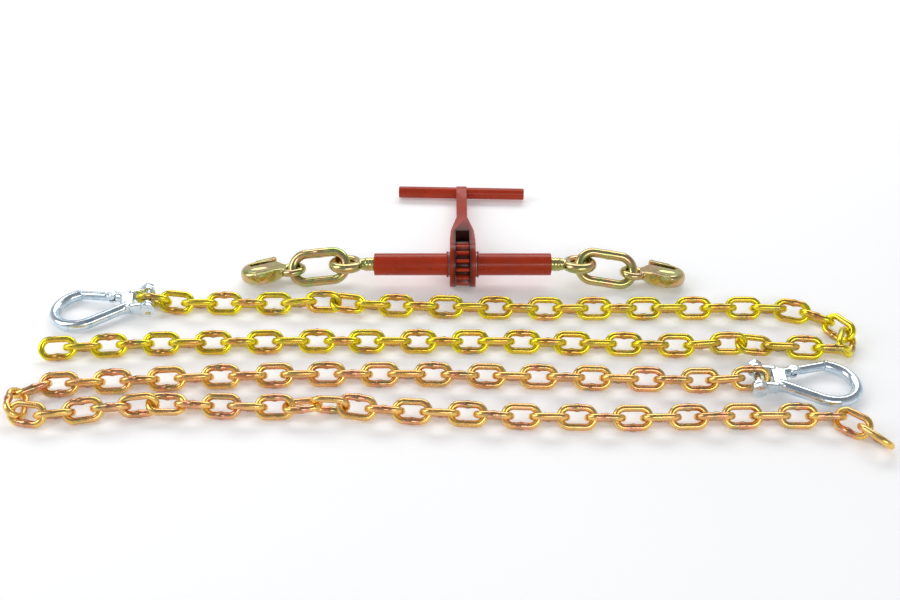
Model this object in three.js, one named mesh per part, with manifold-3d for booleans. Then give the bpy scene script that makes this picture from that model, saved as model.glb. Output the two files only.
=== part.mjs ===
// Load binder chain kit: a ratchet load binder with a grab hook at each end, and two transport chains,
// each with a gated snap hook bolted to its first link. Millimetres, +Z up, standing on Z = 0.
// +X runs along the chains and the binder's barrel, and +Y points to the back, where the handle lies.

import * as THREE from 'three';
import { mergeVertices } from 'three/addons/utils/BufferGeometryUtils.js';
import Module from 'manifold-3d';

const wasm = await Module();
wasm.setup();

// ---- Chain ----------------------------------------------------------------------------------
const WIRE = 8; // diameter of the link's wire
const PITCH = 30.7; // spacing of two links that pull on each other
const LINK_WIDTH = 21.5; // between the centres of a link's two legs
const LINK_SPAN = 37.93; // between the centres of a link's two crowns
const LINK_SIDES = 5; // the wire's section is a regular polygon
const LINK_CORNER = 4.6; // its corner radius, for the area of the round wire
const LINK_UNDERSIDE = 4.09; // how far a leg reaches below its centre on a link that leans 45 degrees
const PIVOT_SLACK = 1.9; // how much closer two links lie where one is free to swing
const CHAIN_LINKS = 61;

// ---- Binder ---------------------------------------------------------------------------------
const BARREL_CENTRE = new THREE.Vector3(16, 37, 28.8);
const BARREL_LENGTH = 224;
const BARREL_RADIUS = 14.1;
const BARREL_BORE = 10.1;
const RUNNING_GAP = 0.4;

const GEAR_TEETH = 14;
const GEAR_TIP = 27;
const GEAR_ROOT = 21.5;
const GEAR_WIDTH = 16.6;
const TOOTH_TIP_WIDTH = 3.2;
const TOOTH_ROOT_WIDTH = 6.4;

const YOKE_RADIUS = 28.8;
const YOKE_WIDTH = 32.4;
const YOKE_WINDOW = 17.7;
const WINDOW_END = 57; // how far behind the barrel's axis the window reaches
const NECK_START = 117;
const NECK_WIDTH = 14.3;
const NECK_HEIGHT = 16;
const HANDLE_LENGTH = 207; // barrel axis to grip bar axis
const HANDLE_EYE = 9.6; // radius of the handle's end, round the grip bar
const GRIP_LENGTH = 176;
const GRIP_RADIUS = 8;
const GRIP_YAW = THREE.MathUtils.degToRad(-2.5);
const HANDLE_DROP = Math.asin((BARREL_CENTRE.z - HANDLE_EYE - 0.05) / HANDLE_LENGTH);

const PAWL_PIVOT = 44; // behind the barrel's axis
const PAWL_WIDTH = 16.4;
const PAWL_PIN_RADIUS = 4;
const DETENT_RADIUS = 3;
const DETENT_BORE = 3.4;

const WASHER_THICKNESS = 1.2;
const COLLAR_THICKNESS = 2.6;
const COLLAR_RADIUS = 16.6;

const SCREW_RADIUS = 9;
const SCREW_INSIDE = 100; // length of each screw inside the barrel when the binder is closed
const EYE_REACH = 36; // barrel end to the centre of the screw's eye
const EYE_RING = 16; // centre-line radius of the screw's eye
const EYE_WIRE = 6.4;
const EYE_ROLL = THREE.MathUtils.degToRad(-15); // how far each screw's eye is turned from level

const COUPLING_SPAN = 70;
const COUPLING_WIDTH = 36.5;
const COUPLING_WIRE = 5.25;
const COUPLING_ROLL = THREE.MathUtils.degToRad(45);

const HOOK_THICKNESS = 14;
const HOOK_EYE_RING = 12.4;
const HOOK_EYE_WIRE = 4.7;
const HOOK_BEND = 43; // eye centre to the centre of the bend
const HOOK_BEND_RADIUS = 24;
const HOOK_SLOT = 10;
const HOOK_TIP_BAR = 8;
const HOOK_SLANT = THREE.MathUtils.degToRad(22); // between the slot and the hook's axis
const HOOK_EYE_HEIGHT = 17;
const HOOK_TILT = THREE.MathUtils.degToRad(-12); // the hook leans back about its own length
const HOOK_DROOP = THREE.MathUtils.degToRad(5.8); // its bend rests on the ground

// ---- Snap hook ------------------------------------------------------------------------------
const BOLT_RADIUS = 4.5;
const BOLT_CLEARANCE = 2.8; // between the bolt and the link that hangs on it
const SNAP_WIRE = 6;
const SNAP_LENGTH = 114; // bolt axis to the middle of the big bow's wire
const SNAP_BOW = 32; // centre-line radius of the big bow
const SNAP_NECK = 24; // bolt axis to the neck
const SNAP_NECK_HALF = 8.5; // half the distance between the legs at the neck
const FORK_GAP = 24.6;
const EAR_THICKNESS = 5.6;
const EAR_RADIUS = 9;
const FORK_THROAT = 17.2;
const GATE_START = 44; // distances of the gate's pivot and nose along the snap hook's axis
const GATE_NOSE = 83;
const GATE_RADIUS = 5;

// Where the chains lie: their routes seen from above, from the snap hook's bolt to the free end.
const CHAINS = [
  {
    name: 'chain_1',
    route: [
      [-375, -18], [-335, -24], [-150, -24], [-60, -29], [120, -35], [370, -33.5], [411, -36],
      [441, -47], [466, -66], [480, -93], [462, -120], [432, -113], [350, -108], [260, -108],
      [75, -101], [-174, -100], [-360, -105], [-520, -118],
    ],
    firstRoll: 135,
    twists: [[1, -15], [2, 0], [7, 0], [10, 90], [33, 90], [36, 180]],
    runs: [
      ['first_link', 1, 1], ['second_link', 2, 2], ['run_a', 3, 10], ['run_b', 11, 18],
      ['run_c', 19, 26], ['turn', 27, 32], ['run_d', 33, 41], ['run_e', 42, 49],
      ['run_f', 50, 60], ['end_link', 61, 61],
    ],
    snapYaw: 190,
    colour: 0xd2b42c,
  },
  {
    name: 'chain_2',
    route: [
      [351, -171], [277, -173], [153, -168], [-35, -162], [-160, -162], [-282, -167], [-403, -176],
      [-461, -181], [-476, -184], [-494, -209], [-479, -234], [-449, -233], [-414, -227],
      [-385, -220], [-355, -222], [-316, -214], [-203, -220], [-145, -217], [-50, -226],
      [75, -235], [200, -238], [323, -234], [384, -234], [436, -236], [480, -292],
    ],
    firstRoll: 135,
    twists: [[1, -15], [2, 0], [33, 0], [36, 90], [39, 90], [42, 180]],
    runs: [
      ['first_link', 1, 1], ['second_link', 2, 2], ['run_a', 3, 10], ['run_b', 11, 18],
      ['run_c', 19, 26], ['turn', 27, 37], ['run_d', 38, 46], ['run_e', 47, 54],
      ['run_f', 55, 60], ['end_link', 61, 61],
    ],
    snapYaw: -2,
    colour: 0xd69a52,
  },
];

const FINISH = {
  paint: { color: 0xa03a20, roughness: 0.45, metalness: 0.1 },
  zinc: { color: 0xcfc88c, roughness: 0.3, metalness: 0.9 },
  bright: { color: 0xc4d2dc, roughness: 0.25, metalness: 0.95 },
  steel: { color: 0x70706c, roughness: 0.5, metalness: 0.8 },
};

// ---- Solids ---------------------------------------------------------------------------------
function toSolid(geometry, matrix = new THREE.Matrix4()) {
  const bare = geometry.clone();
  bare.deleteAttribute('normal');
  bare.deleteAttribute('uv');
  const merged = mergeVertices(bare, 1e-4);
  merged.applyMatrix4(matrix);
  return new wasm.Manifold(new wasm.Mesh({
    numProp: 3,
    vertProperties: new Float32Array(merged.attributes.position.array),
    triVerts: new Uint32Array(merged.index.array),
  }));
}

function toGeometry(solid) {
  const mesh = solid.getMesh();
  const geometry = new THREE.BufferGeometry();
  geometry.setAttribute('position', new THREE.BufferAttribute(mesh.vertProperties, 3));
  geometry.setIndex(new THREE.BufferAttribute(mesh.triVerts, 1));
  return geometry;
}

function joined(...solids) {
  return solids.reduce((whole, solid) => whole.add(solid));
}

function piece(name, solid, finish) {
  const mesh = new THREE.Mesh(toGeometry(solid), new THREE.MeshStandardMaterial(finish));
  mesh.name = name;
  return mesh;
}

function moved(x, y, z) {
  return new THREE.Matrix4().makeTranslation(x, y, z);
}

// A cylinder along X, centred at x.
function rodAlongX(radius, length, x = 0, sides = 24) {
  const geometry = new THREE.CylinderGeometry(radius, radius, length, sides).rotateZ(Math.PI / 2);
  return toSolid(geometry, moved(x, 0, 0));
}

// A shape drawn in the (Y, Z) plane and given a width along X, centred on X = 0.
function slabAlongX(shape, width, curveSegments = 10) {
  const geometry = new THREE.ExtrudeGeometry(shape, { depth: width, bevelEnabled: false, curveSegments });
  geometry.translate(0, 0, -width / 2);
  const turn = new THREE.Matrix4().makeBasis(
    new THREE.Vector3(0, 1, 0), new THREE.Vector3(0, 0, 1), new THREE.Vector3(1, 0, 0),
  );
  return toSolid(geometry, turn);
}

// A shape drawn in the (X, Y) plane and given a height along Z, centred on Z = 0.
function slabAlongZ(shape, height, curveSegments = 10) {
  const geometry = new THREE.ExtrudeGeometry(shape, { depth: height, bevelEnabled: false, curveSegments });
  return toSolid(geometry, moved(0, 0, -height / 2));
}

function polygon(points) {
  return new THREE.Shape(points.map(([x, y]) => new THREE.Vector2(x, y)));
}

// A closed loop of wire: a section of equal sides swept round corners in the XY plane, mitred at each.
function wireLoop(corners, radius, sides) {
  const phase = sides % 2 ? 0 : 0.5; // a flat faces the inside of the loop
  const positions = [];
  corners.forEach((here, i) => {
    const arriving = here.clone().sub(corners.at(i - 1)).normalize();
    const leaving = corners[(i + 1) % corners.length].clone().sub(here).normalize();
    const along = arriving.clone().add(leaving);
    const stretch = 2 / along.length();
    const outward = new THREE.Vector2(along.y, -along.x).normalize();
    for (let side = 0; side < sides; side += 1) {
      const angle = (2 * Math.PI * (side + phase)) / sides;
      const reach = radius * Math.cos(angle) * stretch;
      positions.push(here.x + outward.x * reach, here.y + outward.y * reach, radius * Math.sin(angle));
    }
  });
  const index = [];
  for (let ring = 0; ring < corners.length; ring += 1) {
    const next = (ring + 1) % corners.length;
    for (let side = 0; side < sides; side += 1) {
      const turn = (side + 1) % sides;
      const [a, b] = [ring * sides + side, ring * sides + turn];
      const [c, d] = [next * sides + side, next * sides + turn];
      index.push(a, c, b, b, c, d);
    }
  }
  const geometry = new THREE.BufferGeometry();
  geometry.setAttribute('position', new THREE.Float32BufferAttribute(positions, 3));
  geometry.setIndex(index);
  return geometry;
}

// The eight corners of a long link, counterclockwise; its round crowns become three flats each.
function linkCorners(span, width) {
  const half = span / 2;
  const side = width / 2;
  const cut = side * (1 - Math.tan(Math.PI / 8));
  const quarter = [[half, side - cut], [half - cut, side]];
  return [
    ...quarter,
    ...quarter.map(([x, y]) => [-x, y]).reverse(),
    ...quarter.map(([x, y]) => [-x, -y]),
    ...quarter.map(([x, y]) => [x, -y]).reverse(),
  ].map(([x, y]) => new THREE.Vector2(x, y));
}

// ---- Chain: links laid along a route --------------------------------------------------------
// The next point of the route that lies one span away from a point on it.
function stepAlong(route, segment, from, span) {
  for (let s = segment; s < route.length - 1; s += 1) {
    const leg = route[s + 1].clone().sub(route[s]);
    const gap = route[s].clone().sub(from);
    const a = leg.lengthSq();
    const b = gap.dot(leg);
    const c = gap.lengthSq() - span * span;
    const root = b * b - a * c;
    const t = root < 0 ? -1 : (-b + Math.sqrt(root)) / a;
    if (t >= 0 && t <= 1) return { segment: s, point: route[s].clone().addScaledVector(leg, t) };
  }
  throw new Error('the route is too short for its links');
}

function twistAt(twists, link) {
  const after = twists.findIndex(([at]) => at >= link);
  if (after < 0) return twists.at(-1)[1];
  if (after === 0) return twists[0][1];
  const [[fromLink, fromAngle], [toLink, toAngle]] = [twists[after - 1], twists[after]];
  return fromAngle + ((toAngle - fromAngle) * (link - fromLink)) / (toLink - fromLink);
}

// Each link's centre, direction, width direction and normal. A link turns a quarter from the last, and
// no link reaches below the floor.
function layLinks(chain) {
  const route = chain.route.map(([x, y]) => new THREE.Vector2(x, y));
  const starts = chain.runs.map(([, first]) => first);
  const hang = LINK_SPAN / 2 - BOLT_RADIUS - WIRE / 2 - BOLT_CLEARANCE; // bolt axis to first centre
  const rolls = [];
  for (let link = 1; link <= CHAIN_LINKS; link += 1) {
    const roll = chain.firstRoll + 90 * (link - 1) + twistAt(chain.twists, link);
    rolls.push(THREE.MathUtils.degToRad(roll));
  }
  const rise = rolls.map((roll) => (LINK_WIDTH / 2) * Math.abs(Math.sin(roll)) + LINK_UNDERSIDE);
  const links = [];
  let here = { segment: 0, point: route[0] };
  let height = rise[0];
  for (let i = 0; i < CHAIN_LINKS; i += 1) {
    const freeStart = i > 0 && starts.includes(i + 1);
    const freeEnd = starts.includes(i + 2);
    const before = i === 0 ? hang : PITCH / 2 - (freeStart ? PIVOT_SLACK / 2 : 0);
    const after = PITCH / 2 - (freeEnd ? PIVOT_SLACK / 2 : 0);
    const next = stepAlong(route, here.segment, here.point, before + after);
    const nextHeight = Math.max(rise[i], rise[i + 1] ?? 0);
    const start = new THREE.Vector3(here.point.x, here.point.y, height);
    const end = new THREE.Vector3(next.point.x, next.point.y, nextHeight);
    const along = end.clone().sub(start).normalize();
    const side = new THREE.Vector3(-along.y, along.x, 0).normalize();
    const up = new THREE.Vector3().crossVectors(along, side);
    const width = side.multiplyScalar(Math.cos(rolls[i])).addScaledVector(up, Math.sin(rolls[i]));
    const centre = start.clone().addScaledVector(along, before);
    links.push({ centre, along, width, normal: new THREE.Vector3().crossVectors(along, width) });
    here = next;
    height = nextHeight;
  }
  return links;
}

const chainLink = wireLoop(linkCorners(LINK_SPAN, LINK_WIDTH), LINK_CORNER, LINK_SIDES);

function linkSolid(link) {
  const place = new THREE.Matrix4().makeBasis(link.along, link.width, link.normal);
  return toSolid(chainLink, place.setPosition(link.centre));
}

// The pivot on a link's crown, at the end that faces the given way along the chain.
function crownPivot(link, way) {
  return { point: link.centre.clone().addScaledVector(link.along, (way * LINK_SPAN) / 2), axis: link.width };
}

function buildChain(chain) {
  const links = layLinks(chain);
  const finish = { color: chain.colour, roughness: 0.35, metalness: 0.85 };
  const group = new THREE.Group();
  const turn = chain.runs.findIndex(([name]) => name === 'turn');
  chain.runs.forEach(([name, first, last], i) => {
    const solids = links.slice(first - 1, last).map(linkSolid);
    const mesh = piece(`${chain.name}_${name}`, joined(...solids), finish);
    if (i < turn) mesh.userData.pivot = crownPivot(links[last], -1);
    if (i === 0) mesh.userData.pivot = crownPivot(links[0], 1);
    if (i > turn) mesh.userData.pivot = crownPivot(links[first - 2], 1);
    group.add(mesh);
  });
  const [first] = links;
  const boltPoint = new THREE.Vector3(...chain.route[0], 0);
  boltPoint.z = first.centre.z;
  group.add(buildSnapHook(chain, boltPoint));
  return group;
}

// ---- Snap hook: made in its own frame, bolt axis along Y through the origin, bow towards +X ------
const SNAP_REACH = SNAP_LENGTH - SNAP_BOW - SNAP_NECK; // neck to the centre of the bow
const LEG_TANGENT = Math.acos(-SNAP_BOW / Math.hypot(SNAP_REACH, SNAP_NECK_HALF))
  - Math.atan2(SNAP_NECK_HALF, SNAP_REACH); // where a straight leg runs into the bow

function onBow(angle) {
  const centre = SNAP_LENGTH - SNAP_BOW;
  return new THREE.Vector3(centre + SNAP_BOW * Math.cos(angle), SNAP_BOW * Math.sin(angle), 0);
}

const NECK_POINT = new THREE.Vector3(SNAP_NECK, SNAP_NECK_HALF, 0);
const GATE_PIVOT = NECK_POINT.clone().lerp(
  onBow(LEG_TANGENT), (GATE_START - SNAP_NECK) / (onBow(LEG_TANGENT).x - SNAP_NECK),
);
const NOSE_ANGLE = Math.acos((GATE_NOSE - SNAP_LENGTH + SNAP_BOW) / SNAP_BOW);
const NOSE_GAP = 0.7;
const CHEEK_RADIUS = 6.2;
const TONGUE_HALF = 2.5;
const GATE_PIN_RADIUS = 2;
const GATE_SPRING_RADIUS = 1.3;

function regularSection(radius, sides) {
  return polygon(Array.from({ length: sides }, (_, i) => {
    const angle = (2 * Math.PI * (i + 0.5)) / sides;
    return [radius * Math.cos(angle), radius * Math.sin(angle)];
  }));
}

function sweep(curve, radius, steps, sides = 8) {
  const shape = regularSection(radius, sides);
  return toSolid(new THREE.ExtrudeGeometry(shape, { steps, bevelEnabled: false, extrudePath: curve }));
}

function rodBetween(from, to, radius, sides = 12) {
  return sweep(new THREE.LineCurve3(from, to), radius, 1, sides);
}

function pinAlongZ(centre, radius, height, sides = 16) {
  const geometry = new THREE.CylinderGeometry(radius, radius, height, sides).rotateX(Math.PI / 2);
  return toSolid(geometry, moved(centre.x, centre.y, centre.z));
}

function rodAlongY(radius, from, to, sides = 16) {
  return toSolid(new THREE.CylinderGeometry(radius, radius, to - from, sides), moved(0, (from + to) / 2, 0));
}

function forkEar(side) {
  const shape = new THREE.Shape();
  shape.absarc(0, 0, EAR_RADIUS, Math.PI / 4, (7 * Math.PI) / 4, false);
  shape.lineTo(FORK_THROAT + 4, -SNAP_WIRE);
  shape.lineTo(FORK_THROAT + 4, SNAP_WIRE);
  const geometry = new THREE.ExtrudeGeometry(shape, {
    depth: EAR_THICKNESS, bevelEnabled: false, curveSegments: 12,
  });
  geometry.rotateX(Math.PI / 2);
  const inner = FORK_GAP / 2;
  return toSolid(geometry, moved(0, side > 0 ? inner + EAR_THICKNESS : -inner, 0));
}

function snapBody() {
  const nose = onBow(NOSE_ANGLE);
  const points = [nose, nose.clone().addScaledVector(nose.clone().sub(GATE_PIVOT).normalize(), 2)];
  for (let step = 1; step <= 6; step += 1) {
    points.push(onBow(THREE.MathUtils.lerp(NOSE_ANGLE, -LEG_TANGENT, step / 6)));
  }
  const neck = new THREE.Vector3(NECK_POINT.x, -NECK_POINT.y, 0);
  points.push(points.at(-1).clone().lerp(neck, 0.5), neck);
  const bow = sweep(new THREE.CatmullRomCurve3(points), SNAP_WIRE, 16);
  const outer = FORK_GAP / 2 + EAR_THICKNESS;
  const tail = SNAP_NECK_HALF + SNAP_WIRE - 0.5;
  const crossbar = slabAlongZ(polygon([
    [FORK_THROAT, -outer], [FORK_THROAT + 4, -outer], [SNAP_NECK + 4, -tail], [SNAP_NECK + 8, 0],
    [SNAP_NECK + 4, tail], [FORK_THROAT + 4, outer], [FORK_THROAT, outer],
  ]), 2 * SNAP_WIRE - 0.6);
  const stub = rodBetween(NECK_POINT, GATE_PIVOT, SNAP_WIRE, 8);
  const cheeks = pinAlongZ(GATE_PIVOT, CHEEK_RADIUS, 2 * SNAP_WIRE - 0.4);
  const slot = pinAlongZ(GATE_PIVOT, CHEEK_RADIUS + 2, 2 * TONGUE_HALF + 0.6);
  const pinHole = pinAlongZ(GATE_PIVOT, GATE_PIN_RADIUS + 0.3, 4 * SNAP_WIRE);
  const springEnd = GATE_PIVOT.clone().lerp(NECK_POINT, 0.95);
  const springBore = rodBetween(GATE_PIVOT, springEnd, GATE_SPRING_RADIUS + 0.4);
  return joined(bow, crossbar, forkEar(1), forkEar(-1), stub, cheeks)
    .subtract(slot)
    .subtract(pinHole)
    .subtract(springBore)
    .subtract(rodAlongY(BOLT_RADIUS + 0.3, -2 * outer, 2 * outer));
}

// The gate swings about GATE_PIVOT, between the body's two cheeks, and closes against the nose.
function snapGate() {
  const nose = onBow(NOSE_ANGLE);
  const along = nose.clone().sub(GATE_PIVOT).normalize();
  const rod = rodBetween(
    GATE_PIVOT.clone().addScaledVector(along, CHEEK_RADIUS + 0.8),
    nose.clone().addScaledVector(along, -NOSE_GAP), GATE_RADIUS,
  );
  const root = GATE_PIVOT.clone().addScaledVector(along, CHEEK_RADIUS + 3);
  const round = pinAlongZ(GATE_PIVOT, 4.4, 2 * TONGUE_HALF);
  const across = new THREE.Vector3(-along.y, along.x, 0).multiplyScalar(4.2);
  const corners = [
    GATE_PIVOT.clone().add(across), GATE_PIVOT.clone().sub(across),
    root.clone().sub(across), root.clone().add(across),
  ];
  const tongue = slabAlongZ(polygon(corners.map(({ x, y }) => [x, y])), 2 * TONGUE_HALF);
  return joined(rod, tongue, round).subtract(pinAlongZ(GATE_PIVOT, GATE_PIN_RADIUS + 0.3, 20));
}

function hexAlongY(acrossCorners, from, to) {
  return rodAlongY(acrossCorners / 2, from, to, 6);
}

function buildSnapHook(chain, boltPoint) {
  const outer = FORK_GAP / 2 + EAR_THICKNESS;
  const bolt = joined(
    hexAlongY(19.6, -outer - 6.3, -outer - 0.3), rodAlongY(BOLT_RADIUS, -outer - 1, outer + 9),
  );
  const nut = hexAlongY(18, outer + 0.3, outer + 7).subtract(rodAlongY(BOLT_RADIUS + 0.3, 0, 2 * outer));
  const springFrom = GATE_PIVOT.clone().lerp(NECK_POINT, 0.44);
  const springTo = GATE_PIVOT.clone().lerp(NECK_POINT, 0.92);
  const snap = new THREE.Group();
  const gate = piece(`${chain.name}_snap_gate`, snapGate(), FINISH.bright);
  gate.userData.pivot = { point: GATE_PIVOT, axis: new THREE.Vector3(0, 0, -1) };
  const body = piece(`${chain.name}_snap_body`, snapBody(), FINISH.bright);
  const pin = pinAlongZ(GATE_PIVOT, GATE_PIN_RADIUS, 2 * SNAP_WIRE - 0.8);
  const spring = rodBetween(springFrom, springTo, GATE_SPRING_RADIUS, 8);
  body.userData.pivot = { point: new THREE.Vector3(), axis: new THREE.Vector3(0, -1, 0) };
  snap.add(
    body,
    gate,
    piece(`${chain.name}_gate_pin`, pin, FINISH.bright),
    piece(`${chain.name}_gate_spring`, spring, FINISH.steel),
    piece(`${chain.name}_clevis_bolt`, bolt, FINISH.bright),
    piece(`${chain.name}_clevis_nut`, nut, FINISH.bright),
  );
  const yaw = THREE.MathUtils.degToRad(chain.snapYaw);
  const flip = Math.cos(yaw) < 0 ? Math.PI : 0;
  const droop = Math.asin((boltPoint.z - SNAP_WIRE - 0.05) / SNAP_LENGTH);
  snap.rotation.set(flip, droop, yaw, 'ZYX');
  snap.position.copy(boltPoint);
  return snap;
}

// ---- Binder: made in a frame on the barrel's axis, with the handle towards +Y --------------------
function gearShape() {
  const shape = new THREE.Shape();
  const tip = TOOTH_TIP_WIDTH / 2 / GEAR_TIP;
  const root = TOOTH_ROOT_WIDTH / 2 / GEAR_ROOT;
  const corners = [];
  for (let tooth = 0; tooth < GEAR_TEETH; tooth += 1) {
    const middle = ((tooth + 0.5) * 2 * Math.PI) / GEAR_TEETH;
    corners.push([GEAR_ROOT, middle - root], [GEAR_TIP, middle - tip], [GEAR_TIP, middle + tip]);
    corners.push([GEAR_ROOT, middle + root]);
  }
  shape.setFromPoints(corners.map(([r, a]) => new THREE.Vector2(r * Math.cos(a), r * Math.sin(a))));
  return shape;
}

function ratchetGear() {
  const bore = rodAlongX(BARREL_RADIUS + 0.3, 2 * GEAR_WIDTH);
  return slabAlongX(gearShape(), GEAR_WIDTH).subtract(bore);
}

function yokeSide() {
  const shape = new THREE.Shape();
  const tangent = THREE.MathUtils.degToRad(78);
  const half = NECK_HEIGHT / 2;
  shape.absarc(0, 0, YOKE_RADIUS, tangent, 2 * Math.PI - tangent, false);
  shape.lineTo(NECK_START, -half);
  shape.lineTo(HANDLE_LENGTH, -half);
  shape.lineTo(HANDLE_LENGTH, half);
  shape.lineTo(NECK_START, half);
  return shape;
}

function yokePlan() {
  const wide = YOKE_WIDTH / 2;
  const narrow = NECK_WIDTH / 2;
  return polygon([
    [-wide, -YOKE_RADIUS - 1], [wide, -YOKE_RADIUS - 1], [wide, 20], [wide - 1.2, WINDOW_END],
    [narrow, NECK_START], [narrow, HANDLE_LENGTH], [-narrow, HANDLE_LENGTH], [-narrow, NECK_START],
    [-wide + 1.2, WINDOW_END], [-wide, 20],
  ]);
}

function gripPlace() {
  return new THREE.Matrix4().makeRotationZ(GRIP_YAW).setPosition(0, HANDLE_LENGTH, 0);
}

function gripRod(radius, length) {
  return toSolid(new THREE.CylinderGeometry(radius, radius, length, 16).rotateZ(Math.PI / 2), gripPlace());
}

function slotBox(width, from, to, height) {
  return toSolid(new THREE.BoxGeometry(width, to - from, height), moved(0, (from + to) / 2, 0));
}

const DETENT_SEAT = 20; // depth of the detent's bore behind the window
function handleYoke() {
  const block = slabAlongX(yokeSide(), YOKE_WIDTH + 2, 12).intersect(slabAlongZ(yokePlan(), 3 * YOKE_RADIUS));
  const pinHole = toSolid(
    new THREE.CylinderGeometry(PAWL_PIN_RADIUS + 0.3, PAWL_PIN_RADIUS + 0.3, 2 * YOKE_WIDTH, 16)
      .rotateZ(Math.PI / 2), moved(0, PAWL_PIVOT, 0),
  );
  const handleEye = toSolid(
    new THREE.CylinderGeometry(HANDLE_EYE, HANDLE_EYE, NECK_WIDTH, 20).rotateZ(Math.PI / 2),
    moved(0, HANDLE_LENGTH, 0),
  );
  return block.add(handleEye)
    .subtract(slotBox(YOKE_WINDOW, -2 * YOKE_RADIUS, WINDOW_END, 3 * YOKE_RADIUS))
    .subtract(rodAlongX(BARREL_RADIUS + RUNNING_GAP, 2 * YOKE_WIDTH))
    .subtract(pinHole)
    .subtract(rodAlongY(DETENT_BORE, WINDOW_END - 1, WINDOW_END + DETENT_SEAT))
    .subtract(gripRod(GRIP_RADIUS + 0.3, 3 * NECK_WIDTH));
}

// A double-ended pawl: either claw drops between two teeth when it is flipped about its pin.
function pawl() {
  const claw = [[-8.4, 2], [-15, 10], [-19, 13.6], [-18.2, 16.6], [-12, 14.4], [0, 8.4]];
  const back = [[5, 7], [8.4, 3]];
  const upper = [...claw, ...back];
  const lower = upper.map(([y, z]) => [y, -z]).reverse();
  const body = slabAlongX(polygon([...upper, ...lower].map(([y, z]) => [y + PAWL_PIVOT, z])), PAWL_WIDTH);
  const hole = toSolid(
    new THREE.CylinderGeometry(PAWL_PIN_RADIUS + 0.3, PAWL_PIN_RADIUS + 0.3, 2 * PAWL_WIDTH, 16)
      .rotateZ(Math.PI / 2), moved(0, PAWL_PIVOT, 0),
  );
  return body.subtract(hole);
}

function pawlPin() {
  const geometry = new THREE.CylinderGeometry(PAWL_PIN_RADIUS, PAWL_PIN_RADIUS, YOKE_WIDTH - 3, 16);
  return toSolid(geometry.rotateZ(Math.PI / 2), moved(0, PAWL_PIVOT, 0));
}

function buildHandle() {
  const handle = new THREE.Group();
  const plungerTip = PAWL_PIVOT + 9.6;
  const plunger = joined(
    rodAlongY(DETENT_RADIUS, plungerTip, WINDOW_END + 5, 12),
    rodAlongY(1.3, WINDOW_END + 4, WINDOW_END + 12, 8),
  );
  const spring = rodAlongY(2.9, WINDOW_END + 7, WINDOW_END + DETENT_SEAT - 0.5, 12)
    .subtract(rodAlongY(1.8, WINDOW_END + 6, WINDOW_END + DETENT_SEAT - 3, 12));
  const pawlPiece = piece('pawl', pawl(), FINISH.steel);
  pawlPiece.userData.pivot = {
    point: new THREE.Vector3(0, PAWL_PIVOT, 0), axis: new THREE.Vector3(1, 0, 0),
  };
  const plungerPiece = piece('detent_plunger', plunger, FINISH.steel);
  plungerPiece.userData.pivot = { point: new THREE.Vector3(), axis: new THREE.Vector3(0, 1, 0) };
  handle.add(
    piece('handle_yoke', handleYoke(), FINISH.paint),
    piece('grip_bar', gripRod(GRIP_RADIUS, GRIP_LENGTH), FINISH.paint),
    pawlPiece,
    piece('pawl_pin', pawlPin(), FINISH.steel),
    plungerPiece,
    piece('detent_spring', spring, FINISH.steel),
  );
  handle.rotation.x = -HANDLE_DROP;
  return handle;
}

function ringAlongX(outer, inner, thickness, x) {
  return rodAlongX(outer, thickness, x).subtract(rodAlongX(inner, 2 * thickness, x));
}

function ringLoop(radius, wire, sides = 8, steps = 14) {
  return new THREE.TorusGeometry(radius, wire, sides, steps);
}

// An eye screw for the barrel's right end: the shank runs into the barrel along X.
function eyeScrew() {
  const eye = BARREL_LENGTH / 2 + EYE_REACH;
  const inner = BARREL_LENGTH / 2 - SCREW_INSIDE;
  const neckEnd = eye - EYE_RING;
  const shank = rodAlongX(SCREW_RADIUS, neckEnd - inner, (neckEnd + inner) / 2);
  return joined(shank, toSolid(ringLoop(EYE_RING, EYE_WIRE), moved(eye, 0, 0)));
}

const couplingLink = wireLoop(linkCorners(COUPLING_SPAN, COUPLING_WIDTH), COUPLING_WIRE * 1.02, 8);

function grabHookShape() {
  const shape = new THREE.Shape();
  const slant = new THREE.Vector2(-Math.cos(HOOK_SLANT), Math.sin(HOOK_SLANT));
  const outward = new THREE.Vector2(Math.sin(HOOK_SLANT), Math.cos(HOOK_SLANT));
  const bend = new THREE.Vector2(HOOK_BEND, 0);
  const tipOuter = bend.clone().addScaledVector(outward, HOOK_BEND_RADIUS).addScaledVector(slant, 27);
  const tipInner = tipOuter.clone().addScaledVector(outward, -HOOK_TIP_BAR);
  const slotMiddle = HOOK_BEND_RADIUS - HOOK_TIP_BAR - HOOK_SLOT / 2;
  const slotEnd = bend.clone().addScaledVector(outward, slotMiddle).addScaledVector(slant, -6);
  const outwardAngle = Math.atan2(outward.y, outward.x);
  shape.moveTo(10, -7);
  shape.quadraticCurveTo(24, -20, HOOK_BEND, -HOOK_BEND_RADIUS);
  shape.absarc(bend.x, bend.y, HOOK_BEND_RADIUS, -Math.PI / 2, outwardAngle, false);
  shape.lineTo(tipOuter.x, tipOuter.y);
  shape.lineTo(tipInner.x, tipInner.y);
  shape.absarc(slotEnd.x, slotEnd.y, HOOK_SLOT / 2, outwardAngle, outwardAngle - Math.PI, true);
  const mouth = slotEnd.clone().addScaledVector(outward, -HOOK_SLOT / 2).addScaledVector(slant, 31);
  shape.lineTo(mouth.x, mouth.y);
  shape.lineTo(9, 9);
  return shape;
}

// A grab hook in its own frame: the eye at the origin, the bend towards +X, the slot's mouth on +Y.
function grabHook() {
  const plate = slabAlongZ(grabHookShape(), HOOK_THICKNESS, 8)
    .subtract(pinAlongZ(new THREE.Vector3(), HOOK_EYE_RING, 2 * HOOK_THICKNESS, 14));
  return joined(plate, toSolid(ringLoop(HOOK_EYE_RING, HOOK_EYE_WIRE)));
}

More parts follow.
